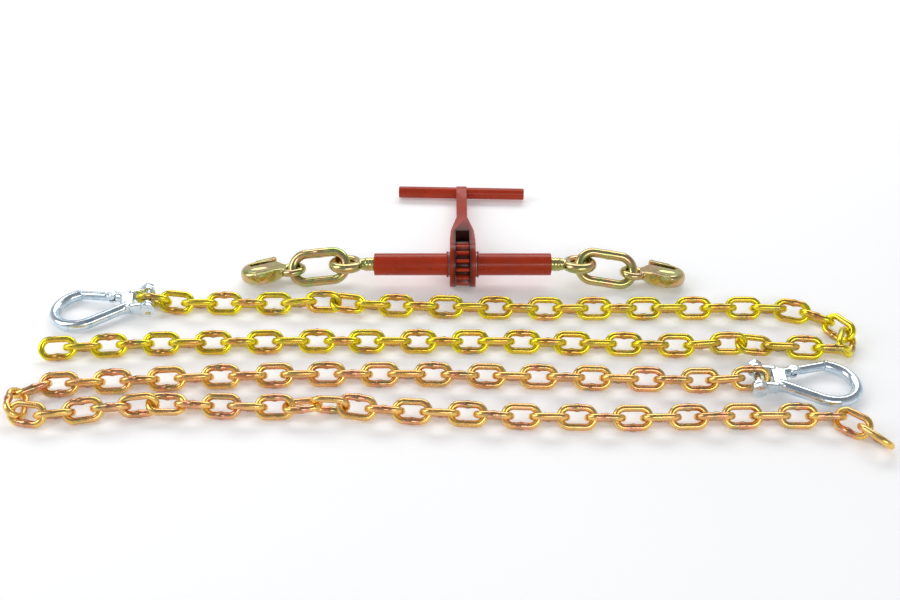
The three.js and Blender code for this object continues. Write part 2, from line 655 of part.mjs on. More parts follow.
// One end of the binder: side is -1 for the left and 1 for the right, sway the far end's offset in Y.
function buildEnd(side, name, sway) {
  const end = new THREE.Group();
  const screw = piece(`eye_screw_${name}`, eyeScrew(), FINISH.zinc);
  screw.rotation.set(side < 0 ? -EYE_ROLL : EYE_ROLL, 0, side < 0 ? Math.PI : 0, 'ZYX');
  screw.userData.pivot = { point: new THREE.Vector3(), axis: new THREE.Vector3(1, 0, 0) };
  const eye = new THREE.Vector3(side * (BARREL_LENGTH / 2 + EYE_REACH), 0, 0);
  const drop = HOOK_EYE_HEIGHT - BARREL_CENTRE.z;
  const run = Math.sqrt(COUPLING_SPAN ** 2 - drop ** 2 - sway ** 2);
  const hookEye = eye.clone().add(new THREE.Vector3(side * run, sway, drop));

  const along = hookEye.clone().sub(eye).normalize();
  const level = new THREE.Vector3(-along.y, along.x, 0).multiplyScalar(side).normalize();
  const up = new THREE.Vector3().crossVectors(along, level).multiplyScalar(side);
  const width = level.multiplyScalar(Math.cos(COUPLING_ROLL)).addScaledVector(up, Math.sin(COUPLING_ROLL));
  const normal = new THREE.Vector3().crossVectors(along, width);
  const place = new THREE.Matrix4().makeBasis(along, width, normal);
  const coupling = piece(`coupling_link_${name}`, toSolid(couplingLink), FINISH.zinc);
  coupling.quaternion.setFromRotationMatrix(place);
  coupling.position.copy(eye).add(hookEye).multiplyScalar(0.5);
  coupling.userData.pivot = {
    point: new THREE.Vector3(-COUPLING_SPAN / 2, 0, 0), axis: new THREE.Vector3(0, 1, 0),
  };

  const hook = piece(`grab_hook_${name}`, grabHook(), FINISH.zinc);
  const lean = side < 0 ? Math.PI - HOOK_TILT : HOOK_TILT;
  hook.rotation.set(lean, HOOK_DROOP, side < 0 ? Math.PI : 0, 'ZYX');
  hook.position.copy(hookEye);
  hook.userData.pivot = { point: new THREE.Vector3(), axis: new THREE.Vector3(0, 1, 0) };
  end.add(screw, coupling, hook);
  return end;
}

function buildBinder() {
  const binder = new THREE.Group();
  const barrel = rodAlongX(BARREL_RADIUS, BARREL_LENGTH).subtract(rodAlongX(BARREL_BORE, 2 * BARREL_LENGTH));
  const barrelPiece = piece('barrel', barrel, FINISH.paint);
  barrelPiece.userData.pivot = { point: new THREE.Vector3(), axis: new THREE.Vector3(1, 0, 0) };
  const gear = piece('ratchet_gear', ratchetGear(), FINISH.paint);
  gear.rotation.x = -HANDLE_DROP;
  binder.add(barrelPiece, gear, buildHandle());
  const washerPlace = YOKE_WIDTH / 2 + 0.3 + WASHER_THICKNESS / 2;
  const collarPlace = washerPlace + WASHER_THICKNESS / 2 + 0.3 + COLLAR_THICKNESS / 2;
  [[-1, 'left'], [1, 'right']].forEach(([side, name]) => {
    const washer = ringAlongX(
      COLLAR_RADIUS - 0.4, BARREL_RADIUS + RUNNING_GAP, WASHER_THICKNESS, side * washerPlace,
    );
    const collar = ringAlongX(COLLAR_RADIUS, BARREL_RADIUS + 0.3, COLLAR_THICKNESS, side * collarPlace);
    binder.add(piece(`thrust_washer_${name}`, washer, FINISH.steel));
    binder.add(piece(`collar_${name}`, collar, FINISH.paint));
  });
  binder.add(buildEnd(-1, 'left', 5), buildEnd(1, 'right', -2));
  binder.position.copy(BARREL_CENTRE);
  return binder;
}

// ---- The kit, with its origin at the bottom centre of its box ------------------------------------
const kit = new THREE.Group();
kit.add(buildBinder(), ...CHAINS.map(buildChain));
kit.updateMatrixWorld(true);
const extent = new THREE.Box3().setFromObject(kit, true);
const middle = extent.getCenter(new THREE.Vector3());
kit.position.set(-middle.x, -middle.y, -extent.min.z);

export default kit;
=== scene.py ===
"""Load binder chain kit: the finished look of a ratchet load binder and two transport chains.

Pieces are modelled in millimetres, each in its own working frame, and then set in place in metres.
"""

from math import acos, asin, atan, atan2, cos, hypot, pi, radians, sin, sqrt, tan

import bmesh
import bpy
from mathutils import Matrix, Vector


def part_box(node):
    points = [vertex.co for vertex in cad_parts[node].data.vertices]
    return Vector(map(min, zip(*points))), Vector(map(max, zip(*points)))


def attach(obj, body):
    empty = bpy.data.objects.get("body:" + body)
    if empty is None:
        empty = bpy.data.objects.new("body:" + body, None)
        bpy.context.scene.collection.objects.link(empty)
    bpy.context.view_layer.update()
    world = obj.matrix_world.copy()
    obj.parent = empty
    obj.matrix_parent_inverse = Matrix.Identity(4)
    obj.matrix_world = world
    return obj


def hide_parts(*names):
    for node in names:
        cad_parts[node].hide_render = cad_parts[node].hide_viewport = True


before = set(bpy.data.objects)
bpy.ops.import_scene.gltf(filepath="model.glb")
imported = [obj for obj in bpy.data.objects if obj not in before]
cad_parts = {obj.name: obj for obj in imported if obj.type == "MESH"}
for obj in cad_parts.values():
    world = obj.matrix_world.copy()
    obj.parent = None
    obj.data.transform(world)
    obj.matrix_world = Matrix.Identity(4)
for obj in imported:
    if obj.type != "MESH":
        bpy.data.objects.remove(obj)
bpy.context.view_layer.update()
scene = bpy.context.scene
scene.view_settings.view_transform = "Standard"

MM = 0.001
BARREL_CENTRE = Vector((16, 37, 28.8))  # where the barrel lies in the layout
barrel_low, barrel_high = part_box("barrel")
SHIFT = (barrel_low + barrel_high) / 2 - BARREL_CENTRE * MM

# ---- Camera, floor and lights ------------------------------------------------------------------
aim = Vector((SHIFT.x, SHIFT.y, 0))
bpy.ops.object.camera_add(
    location=aim + 1.575 * Vector((0, -cos(radians(36)), sin(radians(36)))), rotation=(radians(54), 0, 0)
)
camera = bpy.context.object
camera.data.lens = 50
camera.data.sensor_width = 36
scene.camera = camera

bpy.ops.mesh.primitive_plane_add(size=14, location=(aim.x, aim.y, -0.0002))
floor = bpy.context.object
floor.name = "floor"


def area_light(name, place, size, power, colour=(1, 1, 1)):
    bpy.ops.object.light_add(type="AREA", location=place)
    lamp = bpy.context.object
    lamp.name = name
    lamp.data.shape = "RECTANGLE"
    lamp.data.size, lamp.data.size_y = size
    lamp.data.energy = power
    lamp.data.color = colour
    lamp.rotation_euler = (aim - Vector(place)).to_track_quat("-Z", "Y").to_euler()


area_light("back_softbox", (0.1, 1.5, 1.5), (2.6, 0.9), 26)
area_light("left_softbox", (-1.8, -0.2, 1.3), (1.0, 1.6), 16)
area_light("front_softbox", (0.7, -1.9, 1.2), (1.8, 0.5), 12)

# ---- Materials ---------------------------------------------------------------------------------


def new_group(name, inputs, outputs):
    group = bpy.data.node_groups.new(name, "ShaderNodeTree")
    for label, kind, value in inputs:
        socket = group.interface.new_socket(name=label, in_out="INPUT", socket_type=kind)
        socket.default_value = value
    for label, kind in outputs:
        group.interface.new_socket(name=label, in_out="OUTPUT", socket_type=kind)
    return group, group.nodes.new("NodeGroupInput"), group.nodes.new("NodeGroupOutput")


def make_mottle():
    """Soft patches, from 0 to 1, with their edges as sharp as the contrast says."""
    group, start, end = new_group(
        "soft_patches",
        [("Scale", "NodeSocketFloat", 40.0), ("Offset", "NodeSocketVector", (0, 0, 0)),
         ("From", "NodeSocketFloat", 0.4), ("To", "NodeSocketFloat", 0.6)],
        [("Mask", "NodeSocketFloat")],
    )
    place = group.nodes.new("ShaderNodeTexCoord")
    shift = group.nodes.new("ShaderNodeVectorMath")
    noise = group.nodes.new("ShaderNodeTexNoise")
    ramp = group.nodes.new("ShaderNodeMapRange")
    noise.inputs["Detail"].default_value = 3
    link = group.links.new
    link(place.outputs["Object"], shift.inputs[0])
    link(start.outputs["Offset"], shift.inputs[1])
    link(shift.outputs[0], noise.inputs["Vector"])
    link(start.outputs["Scale"], noise.inputs["Scale"])
    link(noise.outputs["Fac"], ramp.inputs["Value"])
    link(start.outputs["From"], ramp.inputs["From Min"])
    link(start.outputs["To"], ramp.inputs["From Max"])
    link(ramp.outputs["Result"], end.inputs["Mask"])
    return group


def make_speckle():
    """Small dark specks and pits, as a mask and as a height."""
    group, start, end = new_group(
        "fine_pits",
        [("Scale", "NodeSocketFloat", 900.0), ("Amount", "NodeSocketFloat", 0.3)],
        [("Mask", "NodeSocketFloat"), ("Height", "NodeSocketFloat")],
    )
    place = group.nodes.new("ShaderNodeTexCoord")
    cells = group.nodes.new("ShaderNodeTexVoronoi")
    grain = group.nodes.new("ShaderNodeTexNoise")
    pit = group.nodes.new("ShaderNodeMapRange")
    scaled = group.nodes.new("ShaderNodeMath")
    total = group.nodes.new("ShaderNodeMath")
    scaled.operation = "MULTIPLY"
    total.operation = "SUBTRACT"
    pit.inputs["From Min"].default_value = 0.28
    pit.inputs["From Max"].default_value = 0.05
    grain.inputs["Detail"].default_value = 4
    link = group.links.new
    for texture in (cells, grain):
        link(place.outputs["Object"], texture.inputs["Vector"])
        link(start.outputs["Scale"], texture.inputs["Scale"])
    link(cells.outputs["Distance"], pit.inputs["Value"])
    link(pit.outputs["Result"], scaled.inputs[0])
    link(start.outputs["Amount"], scaled.inputs[1])
    link(scaled.outputs[0], end.inputs["Mask"])
    link(grain.outputs["Fac"], total.inputs[0])
    link(scaled.outputs[0], total.inputs[1])
    link(total.outputs[0], end.inputs["Height"])
    return group


MOTTLE = make_mottle()
SPECKLE = make_speckle()


class Finish:
    """A material under construction: a Principled surface and short calls that add to it."""

    def __init__(self, name, metallic, **surface):
        self.material = bpy.data.materials.new(name)
        self.material.use_nodes = True
        self.nodes = self.material.node_tree.nodes
        self.link = self.material.node_tree.links.new
        self.surface = self.nodes["Principled BSDF"]
        self.surface.inputs["Metallic"].default_value = metallic
        for label, value in surface.items():
            self.surface.inputs[label.replace("_", " ")].default_value = value

    def patches(self, scale, low, high, offset=(0, 0, 0)):
        node = self.nodes.new("ShaderNodeGroup")
        node.node_tree = MOTTLE
        for label, value in (("Scale", scale), ("From", low), ("To", high), ("Offset", offset)):
            node.inputs[label].default_value = value
        return node.outputs["Mask"]

    def pits(self, scale, amount):
        node = self.nodes.new("ShaderNodeGroup")
        node.node_tree = SPECKLE
        node.inputs["Scale"].default_value = scale
        node.inputs["Amount"].default_value = amount
        return node.outputs

    def attribute(self, name):
        node = self.nodes.new("ShaderNodeAttribute")
        node.attribute_name = name
        return node.outputs["Fac"]

    def blend(self, mask, first, second):
        node = self.nodes.new("ShaderNodeMix")
        node.data_type = "RGBA"
        self.link(mask, node.inputs["Factor"])
        for socket, value in ((node.inputs["A"], first), (node.inputs["B"], second)):
            if isinstance(value, tuple):
                socket.default_value = (*value, 1)
            else:
                self.link(value, socket)
        return node.outputs["Result"]

    def spread(self, mask, low, high):
        node = self.nodes.new("ShaderNodeMapRange")
        self.link(mask, node.inputs["Value"])
        node.inputs["To Min"].default_value = low
        node.inputs["To Max"].default_value = high
        return node.outputs["Result"]

    def combined(self, first, second):
        node = self.nodes.new("ShaderNodeMath")
        node.operation = "MULTIPLY"
        self.link(first, node.inputs[0])
        self.link(second, node.inputs[1])
        return node.outputs[0]

    def colour(self, value):
        self.link(value, self.surface.inputs["Base Color"])

    def roughness(self, value):
        self.link(value, self.surface.inputs["Roughness"])

    def relief(self, height, strength, distance):
        node = self.nodes.new("ShaderNodeBump")
        node.inputs["Strength"].default_value = strength
        node.inputs["Distance"].default_value = distance
        self.link(height, node.inputs["Height"])
        self.link(node.outputs["Normal"], self.surface.inputs["Normal"])


def plated_zinc(name, base, warm, cool, rough):
    """Zinc plate with a film that drifts between three tints, slightly pitted."""
    finish = Finish(name, 1.0)
    tint = finish.blend(finish.patches(55, 0.42, 0.62), base, warm)
    tint = finish.blend(finish.patches(80, 0.52, 0.66, (3, 1, 7)), tint, cool)
    pits = finish.pits(1100, 0.35)
    finish.colour(finish.blend(pits["Mask"], tint, tuple(0.35 * c for c in base)))
    finish.roughness(finish.spread(finish.patches(140, 0.3, 0.7), *rough))
    finish.relief(pits["Height"], 0.25, 0.00012)
    return finish.material


def chain_zinc(name, crown, leg, olive, rose):
    """Chromated zinc on links: one tint on the crowns, and others along the legs and weld."""
    finish = Finish(name, 1.0)
    legs = finish.blend(finish.patches(48, 0.42, 0.58, (5, 2, 1)), leg, rose)
    legs = finish.blend(finish.patches(70, 0.5, 0.64, (1, 8, 4)), legs, olive)
    bend = finish.combined(finish.attribute("crown"), finish.patches(30, 0.22, 0.5, (9, 9, 2)))
    tint = finish.blend(bend, legs, crown)
    tint = finish.blend(finish.attribute("weld"), tint, tuple(0.5 * (a + b) for a, b in zip(olive, leg)))
    pits = finish.pits(1300, 0.4)
    finish.colour(finish.blend(pits["Mask"], tint, tuple(0.3 * c for c in leg)))
    finish.roughness(finish.spread(finish.patches(160, 0.3, 0.7), 0.16, 0.34))
    finish.relief(pits["Height"], 0.3, 0.00015)
    return finish.material


def enamel(name, base, worn):
    """Glossy enamel on steel, with a faint orange-peel surface, small rubbed places, and painted shade, near
    black, on the points marked as lying in a recess.
    """
    finish = Finish(name, 0.0, Specular_IOR_Level=0.22, Coat_Weight=0.15, Coat_Roughness=0.08)
    tint = finish.blend(finish.patches(18, 0.35, 0.65), base, tuple(1.3 * c for c in base))
    rubbed = finish.combined(finish.patches(130, 0.62, 0.68), finish.patches(16, 0.5, 0.6, (2, 4, 6)))
    worn_tint = finish.blend(rubbed, tint, worn)
    # painted shade: the points marked as lying in a recess are blended to near black
    finish.colour(finish.blend(finish.attribute("recess_shade"), worn_tint, (0.022, 0.01, 0.008)))
    finish.roughness(finish.spread(finish.patches(60, 0.3, 0.7), 0.24, 0.42))
    finish.relief(finish.pits(420, 0.1)["Height"], 0.16, 0.0003)
    return finish.material


def bare_steel(name, base, rough):
    finish = Finish(name, 1.0)
    pits = finish.pits(1500, 0.5)
    tint = finish.blend(finish.patches(110, 0.4, 0.65), base, tuple(0.6 * c for c in base))
    finish.colour(finish.blend(pits["Mask"], tint, tuple(0.3 * c for c in base)))
    finish.roughness(finish.spread(finish.patches(200, 0.3, 0.7), rough, rough + 0.18))
    finish.relief(pits["Height"], 0.3, 0.0001)
    return finish.material


RED = enamel("red_enamel", (0.34, 0.026, 0.005), (0.22, 0.025, 0.008))
YELLOW_ZINC = plated_zinc(
    "yellow_zinc", base=(0.56, 0.5, 0.2), warm=(0.62, 0.4, 0.22), cool=(0.38, 0.46, 0.16), rough=(0.14, 0.3)
)
BRIGHT_ZINC = plated_zinc(
    "bright_zinc", base=(0.66, 0.76, 0.84), warm=(0.74, 0.8, 0.84), cool=(0.5, 0.64, 0.74), rough=(0.14, 0.3)
)
CHAIN_ZINC = {
    "chain_1": chain_zinc(
        "lime_zinc", crown=(0.88, 0.76, 0.04), leg=(0.66, 0.35, 0.06),
        olive=(0.42, 0.36, 0.13), rose=(0.8, 0.38, 0.14),
    ),
    "chain_2": chain_zinc(
        "rose_zinc", crown=(0.92, 0.6, 0.17), leg=(0.72, 0.32, 0.14),
        olive=(0.42, 0.34, 0.15), rose=(0.85, 0.38, 0.24),
    ),
}
STEEL = bare_steel("bare_steel", (0.4, 0.39, 0.37), 0.3)

white = Finish("white_sweep", 0.0, Roughness=0.9, Emission_Color=(1, 1, 1, 1), Emission_Strength=0.14)
white.colour(white.blend(white.patches(1.5, 0.3, 0.7), (0.93, 0.93, 0.93), (0.95, 0.95, 0.95)))
floor.data.materials.append(white.material)

world = bpy.data.worlds.new("studio")
scene.world = world
world.use_nodes = True
sky = world.node_tree.nodes
sky_way = sky.new("ShaderNodeTexCoord")
sky_split = sky.new("ShaderNodeSeparateXYZ")
sky_ramp = sky.new("ShaderNodeValToRGB")
sky_ramp.color_ramp.elements[0].color = (0.9, 0.92, 0.95, 1)
sky_ramp.color_ramp.elements[1].color = (0.32, 0.33, 0.35, 1)
sky_ramp.color_ramp.elements[1].position = 0.7
world.node_tree.links.new(sky_way.outputs["Generated"], sky_split.inputs[0])
world.node_tree.links.new(sky_split.outputs["Z"], sky_ramp.inputs[0])
world.node_tree.links.new(sky_ramp.outputs[0], sky["Background"].inputs["Color"])
sky["Background"].inputs["Strength"].default_value = 0.8


# ---- Modelling ---------------------------------------------------------------------------------
def only(piece):
    bpy.ops.object.select_all(action="DESELECT")
    piece.select_set(True)
    bpy.context.view_layer.objects.active = piece


def added():
    """The primitive that was just added, with its place and turn moved into its mesh."""
    piece = bpy.context.object
    only(piece)
    bpy.ops.object.transform_apply(location=True, rotation=True, scale=True)
    return piece


def pick(piece, kind, rule):
    """Selects, in edit mode, the points, edges or faces for which the rule holds."""
    bpy.context.tool_settings.mesh_select_mode = (kind == "verts", kind == "edges", kind == "faces")
    mesh = bmesh.from_edit_mesh(piece.data)
    for parts in (mesh.faces, mesh.edges, mesh.verts):
        for part in parts:
            part.select_set(False)
    for part in getattr(mesh, kind):
        if rule(part):
            part.select_set(True)
    bmesh.update_edit_mesh(piece.data)


def nudge(piece, rule, way):
    pick(piece, "verts", lambda point: rule(point.co))
    bpy.ops.transform.translate(value=way)


def apply(piece, kind, **settings):
    only(piece)
    modifier = piece.modifiers.new(kind.lower(), kind)
    for label, value in settings.items():
        setattr(modifier, label, value)
    bpy.ops.object.modifier_apply(modifier=modifier.name)


def merged(*pieces):
    only(pieces[0])
    for piece in pieces:
        piece.select_set(True)
    if len(pieces) > 1:
        bpy.ops.object.join()
    return bpy.context.object


def cut(piece, tool):
    apply(piece, "BOOLEAN", operation="DIFFERENCE", object=tool, solver="EXACT")
    bpy.data.objects.remove(tool)


def forged(piece, voxel, passes):
    """Fuses overlapping solids into one skin and rounds its edges, as forging does."""
    apply(piece, "REMESH", mode="VOXEL", voxel_size=voxel)
    apply(piece, "SMOOTH", factor=0.5, iterations=passes)
    only(piece)
    bpy.ops.object.shade_smooth()
    return piece


def edged(piece, width, angle=32, segments=2):
    apply(piece, "BEVEL", width=width, segments=segments, limit_method="ANGLE", angle_limit=radians(angle))
    only(piece)
    bpy.ops.object.shade_smooth_by_angle(angle=radians(40))
    return piece


def rod(radius, length, centre=(0, 0, 0), axis=(1, 0, 0), sides=40):
    turn = Vector(axis).to_track_quat("Z", "Y").to_euler()
    bpy.ops.mesh.primitive_cylinder_add(
        vertices=sides, radius=radius, depth=length, location=centre, rotation=turn
    )
    return added()


def rod_between(start, end, radius, sides=32):
    start, end = Vector(start), Vector(end)
    return rod(radius, (end - start).length, (start + end) / 2, end - start, sides)


def ring(outer, inner, thickness, x=0.0, chamfer=0.3, sides=56):
    """A washer on the X axis: the ends of a cylinder are inset, and the middle is taken out."""
    piece = rod(outer, thickness, (x, 0, 0), sides=sides)
    bpy.ops.object.mode_set(mode="EDIT")
    pick(piece, "faces", lambda face: abs(face.normal.x) > 0.9)
    bpy.ops.mesh.inset(thickness=outer - inner)
    bpy.ops.mesh.bridge_edge_loops()
    bpy.ops.object.mode_set(mode="OBJECT")
    return edged(piece, chamfer, angle=60)


def place(piece, name, matrix, body, finish, slot, *nodes):
    piece.name = name
    piece.data.name = name
    piece.data.transform(matrix)
    if matrix.determinant() < 0:
        piece.data.flip_normals()
    piece.data.materials.clear()
    piece.data.materials.append(finish)
    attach(piece, body)
    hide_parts(*nodes)
    return piece


def copied(piece):
    twin = piece.copy()
    twin.data = piece.data.copy()
    scene.collection.objects.link(twin)
    return twin


def in_layout(matrix):
    return Matrix.Translation(SHIFT) @ Matrix.Scale(MM, 4) @ matrix


def frame_at(origin, along, width, normal):
    turn = Matrix((along, width, normal)).transposed().to_4x4()
    return Matrix.Translation(origin) @ turn


def turned(origin, lean, droop, yaw):
    turn = Matrix.Rotation(yaw, 4, "Z") @ Matrix.Rotation(droop, 4, "Y") @ Matrix.Rotation(lean, 4, "X")
    return Matrix.Translation(origin) @ turn


# ---- Welded wire: a ring pulled apart into two crowns and two straight legs ---------------------
def wire_loop(span, width, wire, rings, sides, cuts, bead):
    bpy.ops.mesh.primitive_torus_add(
        major_radius=width / 2, minor_radius=wire / 2, major_segments=rings, minor_segments=sides,
        rotation=(0, 0, pi / rings),
    )
    piece = added()
    stretch = (span - width) / 2
    bpy.ops.object.mode_set(mode="EDIT")
    nudge(piece, lambda point: point.x > 0, (stretch, 0, 0))
    nudge(piece, lambda point: point.x < 0, (-stretch, 0, 0))
    pick(piece, "edges", lambda edge: edge.verts[0].co.x * edge.verts[1].co.x < 0 and edge.verts[0].co.y > 0)
    bpy.ops.mesh.subdivide(number_cuts=cuts)
    step = 2 * stretch / cuts
    for reach, swell in ((0.6 * step, bead), (1.7 * step, 1 + (bead - 1) * 0.45)):
        pick(piece, "verts", lambda point: abs(point.co.x) < reach and point.co.y > 0)
        bpy.ops.transform.resize(value=(1, swell, swell), center_override=(0, width / 2, 0))
    bpy.ops.object.mode_set(mode="OBJECT")
    only(piece)
    bpy.ops.object.shade_smooth()
    crown = piece.data.attributes.new("crown", "FLOAT", "POINT")
    weld = piece.data.attributes.new("weld", "FLOAT", "POINT")
    for point, crowned, welded in zip(piece.data.vertices, crown.data, weld.data):
        crowned.value = min(1, max(0, (abs(point.co.x) - 0.8 * stretch) / (0.6 * width / 2)))
        welded.value = 0.8 if abs(point.co.x) < step and point.co.y > 0 else 0
    return piece


# ---- Chains ------------------------------------------------------------------------------------
WIRE = 8
PITCH = 30.7
LINK_WIDTH = 21.5
LINK_SPAN = 38.7
HANG_SPAN = 37.93
LINK_UNDERSIDE = 4.09
PIVOT_SLACK = 1.9
CHAIN_LINKS = 61
BOLT_RADIUS = 4.5
BOLT_CLEARANCE = 2.8

CHAINS = {
    "chain_1": {
        "route": [
            (-375, -18), (-335, -24), (-150, -24), (-60, -29), (120, -35), (370, -33.5), (411, -36),
            (441, -47), (466, -66), (480, -93), (462, -120), (432, -113), (350, -108), (260, -108),
            (75, -101), (-174, -100), (-360, -105), (-520, -118),
        ],
        "twists": [(1, -15), (2, 0), (7, 0), (10, 90), (33, 90), (36, 180)],
        "runs": [
            ("first_link", 1, 1), ("second_link", 2, 2), ("run_a", 3, 10), ("run_b", 11, 18),
            ("run_c", 19, 26), ("turn", 27, 32), ("run_d", 33, 41), ("run_e", 42, 49),
            ("run_f", 50, 60), ("end_link", 61, 61),
        ],
        "snap_yaw": 190,
    },
    "chain_2": {
        "route": [
            (351, -171), (277, -173), (153, -168), (-35, -162), (-160, -162), (-282, -167), (-403, -176),
            (-461, -181), (-476, -184), (-494, -209), (-479, -234), (-449, -233), (-414, -227),
            (-385, -220), (-355, -222), (-316, -214), (-203, -220), (-145, -217), (-50, -226),
            (75, -235), (200, -238), (323, -234), (384, -234), (436, -236), (480, -292),
        ],
        "twists": [(1, -15), (2, 0), (33, 0), (36, 90), (39, 90), (42, 180)],
        "runs": [
            ("first_link", 1, 1), ("second_link", 2, 2), ("run_a", 3, 10), ("run_b", 11, 18),
            ("run_c", 19, 26), ("turn", 27, 37), ("run_d", 38, 46), ("run_e", 47, 54),
            ("run_f", 55, 60), ("end_link", 61, 61),
        ],
        "snap_yaw": -2,
    },
}
FIRST_ROLL = 135


def step_along(route, segment, start, span):
    """The next point of the route that lies one span away from a point on it."""
    for s in range(segment, len(route) - 1):
        leg = route[s + 1] - route[s]
        gap = route[s] - start
        a, b, c = leg.dot(leg), gap.dot(leg), gap.dot(gap) - span * span
        root = b * b - a * c
        t = (-b + sqrt(root)) / a if root >= 0 else -1
        if 0 <= t <= 1:
            return s, route[s] + leg * t
    raise ValueError("the route is too short for its links")


def twist_at(twists, link):
    for (from_link, from_angle), (to_link, to_angle) in zip(twists, twists[1:]):
        if from_link <= link <= to_link:
            return from_angle + (to_angle - from_angle) * (link - from_link) / (to_link - from_link)
    return twists[-1][1]


def lay_links(chain):
    """Where each link lies: its place and turn in the layout, a quarter turn from the last."""
    route = [Vector((x, y)) for x, y in chain["route"]]
    starts = [first for _, first, _ in chain["runs"]]
    rolls = [
        radians(FIRST_ROLL + 90 * (link - 1) + twist_at(chain["twists"], link))
        for link in range(1, CHAIN_LINKS + 1)
    ]
    rise = [LINK_WIDTH / 2 * abs(sin(roll)) + LINK_UNDERSIDE for roll in rolls]
    segment, here, height = 0, route[0], rise[0]
    places = []
    for i, roll in enumerate(rolls):
        before = PITCH / 2 - (PIVOT_SLACK / 2 if i + 1 in starts else 0)
        if i == 0:
            before = HANG_SPAN / 2 - BOLT_RADIUS - WIRE / 2 - BOLT_CLEARANCE
        after = PITCH / 2 - (PIVOT_SLACK / 2 if i + 2 in starts else 0)
        segment, ahead = step_along(route, segment, here, before + after)
        next_height = max(rise[i], rise[i + 1] if i + 1 < CHAIN_LINKS else 0)
        start, end = Vector((*here, height)), Vector((*ahead, next_height))
        along = (end - start).normalized()
        side = Vector((-along.y, along.x, 0)).normalized()
        width = side * cos(roll) + along.cross(side) * sin(roll)
        places.append(frame_at(start + along * before, along, width, along.cross(width)))
        here, height = ahead, next_height
    return places


link_pattern = wire_loop(LINK_SPAN, LINK_WIDTH, WIRE, 20, 12, 8, 1.14)
bolt_points = {}
for chain_name, chain in CHAINS.items():
    places = lay_links(chain)
    for run, first, last in chain["runs"]:
        links = []
        for spot in places[first - 1:last]:
            link = copied(link_pattern)
            link.data.transform(spot)
            links.append(link)
        piece = merged(*links)
        name = f"{chain_name}_{run}"
        place(piece, f"{name}_links", in_layout(Matrix.Identity(4)), name, CHAIN_ZINC[chain_name],
              f"{chain_name}_zinc", name)
    bolt_points[chain_name] = Vector((*chain["route"][0], places[0].translation.z))
bpy.data.objects.remove(link_pattern)

# ---- Snap hook, bolt axis along Y through the origin, bow towards +X -----------------------------
SNAP_WIRE = 6
BOW_WIRE = 6.8  # the bow is a little stouter than the neck it runs into
SNAP_LENGTH = 114
SNAP_BOW = 32
NECK = Vector((24, 8.5, 0))
FORK_GAP = 24.6
EAR_THICKNESS = 5.6
EAR_RADIUS = 9
FORK_THROAT = 17.2
GATE_START = 44
GATE_NOSE = 83
GATE_RADIUS = 5.6
CHEEK_RADIUS = 6.2
TONGUE_HALF = 2.5
BOW_CENTRE = Vector((SNAP_LENGTH - SNAP_BOW, 0, 0))
REACH = BOW_CENTRE.x - NECK.x
LEG_TANGENT = acos(-SNAP_BOW / hypot(REACH, NECK.y)) - atan2(NECK.y, REACH)
NOSE_ANGLE = acos((GATE_NOSE - BOW_CENTRE.x) / SNAP_BOW)
OUTER = FORK_GAP / 2 + EAR_THICKNESS


def on_bow(angle):
    return BOW_CENTRE + SNAP_BOW * Vector((cos(angle), sin(angle), 0))


GATE_PIVOT = NECK.lerp(on_bow(LEG_TANGENT), (GATE_START - NECK.x) / (on_bow(LEG_TANGENT).x - NECK.x))
GATE_WAY = (on_bow(NOSE_ANGLE) - GATE_PIVOT).normalized()


def bow():
    """A round section spun about the bow's centre, then drawn out straight to the neck."""
    nose = on_bow(NOSE_ANGLE)
    tangent = Vector((-sin(NOSE_ANGLE), cos(NOSE_ANGLE), 0))
    bpy.ops.mesh.primitive_circle_add(
        vertices=24, radius=BOW_WIRE, fill_type="NGON", location=nose,
        rotation=tangent.to_track_quat("Z", "Y").to_euler(),
    )
    piece = added()
    bpy.ops.object.mode_set(mode="EDIT")
    bpy.ops.mesh.select_all(action="SELECT")
    bpy.ops.mesh.spin(steps=40, angle=NOSE_ANGLE + LEG_TANGENT, center=BOW_CENTRE, axis=(0, 0, 1))
    bpy.ops.mesh.extrude_region_move(
        TRANSFORM_OT_translate={"value": Vector((NECK.x, -NECK.y, 0)) - on_bow(-LEG_TANGENT)}
    )
    bpy.ops.mesh.select_all(action="SELECT")
    bpy.ops.mesh.remove_doubles(threshold=0.001)
    bpy.ops.mesh.normals_make_consistent(inside=False)
    bpy.ops.object.mode_set(mode="OBJECT")
    return piece


def ear(side):
    middle = side * (FORK_GAP + EAR_THICKNESS) / 2
    eye = rod(EAR_RADIUS, EAR_THICKNESS, (0, middle, 0), (0, 1, 0))
    bpy.ops.mesh.primitive_cube_add(size=1, location=(FORK_THROAT / 2 + 2, middle, 0),
                                    scale=(FORK_THROAT + 4, EAR_THICKNESS, 2 * SNAP_WIRE + 1))
    return merged(eye, added())


def crossbar():
    bpy.ops.mesh.primitive_cube_add(size=1, location=(FORK_THROAT + 8, 0, 0), scale=(16, 2 * OUTER, 11.8))
    piece = added()
    bpy.ops.object.mode_set(mode="EDIT")
    pick(piece, "verts", lambda point: point.co.x > FORK_THROAT + 8)
    bpy.ops.transform.resize(value=(1, 0.8, 1))
    bpy.ops.object.mode_set(mode="OBJECT")
    return piece


def snap_body_shape():
    stub = rod_between(NECK - Vector((2, 0, 0)), GATE_PIVOT, SNAP_WIRE)
    cheeks = rod(CHEEK_RADIUS, 2 * SNAP_WIRE - 0.4, GATE_PIVOT, (0, 0, 1))
    collar = rod(SNAP_WIRE + 0.9, 3.2, on_bow(NOSE_ANGLE) + Vector((1.8, 0.2, 0)), (1, 0, 0))
    piece = forged(merged(bow(), ear(1), ear(-1), crossbar(), stub, cheeks, collar), 0.85, 5)
    cut(piece, rod(CHEEK_RADIUS + 2.4, 2 * TONGUE_HALF + 0.6, GATE_PIVOT, (0, 0, 1)))
    cut(piece, rod_between(GATE_PIVOT.lerp(NECK, 0.95), GATE_PIVOT, 1.7, 16))
    only(piece)
    bpy.ops.object.shade_smooth_by_angle(angle=radians(35))
    return piece


